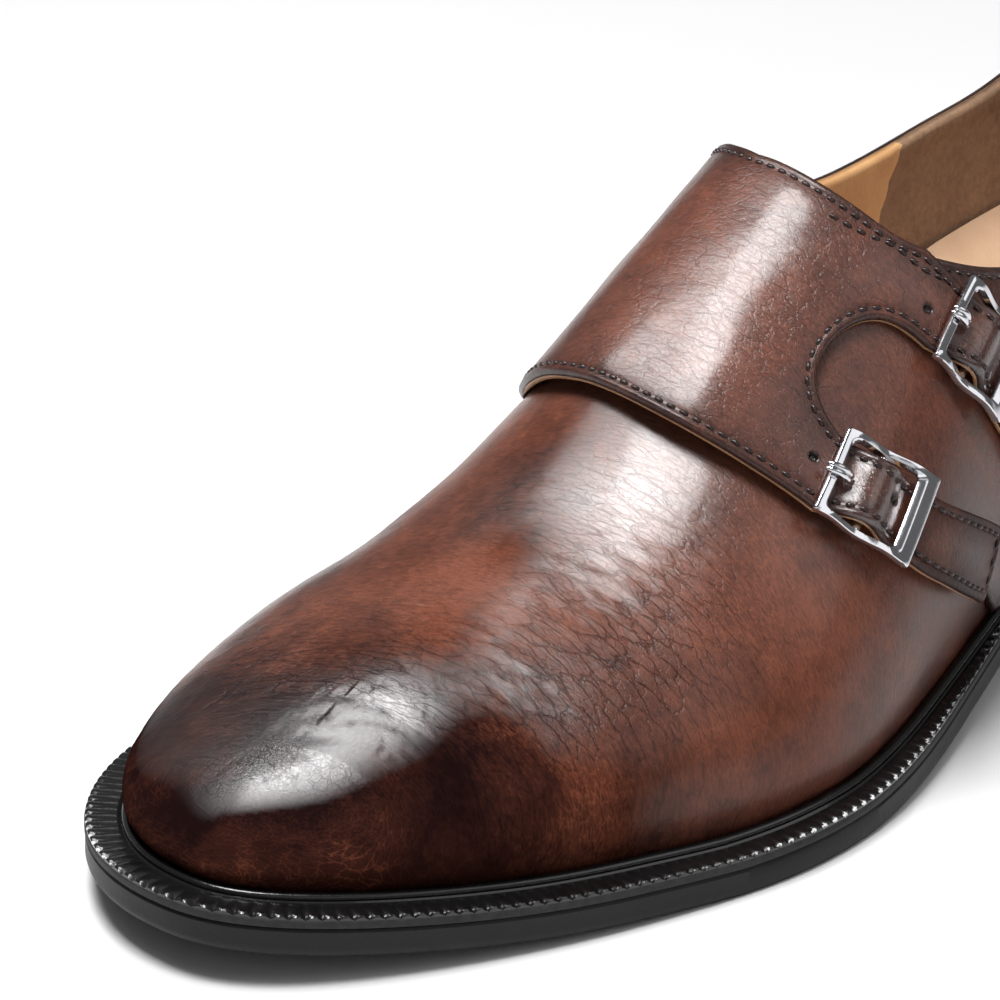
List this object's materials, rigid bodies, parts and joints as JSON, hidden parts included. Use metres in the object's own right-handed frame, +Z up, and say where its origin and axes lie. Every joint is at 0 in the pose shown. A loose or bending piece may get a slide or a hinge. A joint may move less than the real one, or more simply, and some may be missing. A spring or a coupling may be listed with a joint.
{
  "type": "double monk-strap shoe",
  "caption": "Low-cut left dress shoe with an inner quarter flap carried over the instep as buckled straps, on a welted rubber sole with a stacked heel",
  "frame": {"origin": "centre of the shoe's box on the floor plane, z = 0 at the floor", "axes": "+Z up, the toe points along -Y, +X is the buckled outer side of this left shoe"},
  "size_m": [0.1102, 0.3056, 0.1008],
  "materials": {
    "sole_rubber": "satin",
    "heel_stack": "burnished",
    "welt_rubber": "satin",
    "tan_leather": "smooth",
    "brown_leather": "burnished gloss",
    "polished_steel": "polished"
  },
  "bodies": {
    "root": {"outsole": "sole_rubber", "heel_lift": "sole_rubber", "heel_block": "heel_stack", "welt": "welt_rubber", "insole": "tan_leather", "upper": "brown_leather", "quarter_outer": "brown_leather", "monk_flap": "brown_leather", "buckle_front": "polished_steel", "prong_front": "polished_steel", "buckle_rear": "polished_steel", "prong_rear": "polished_steel"}
  },
  "joints": []
}
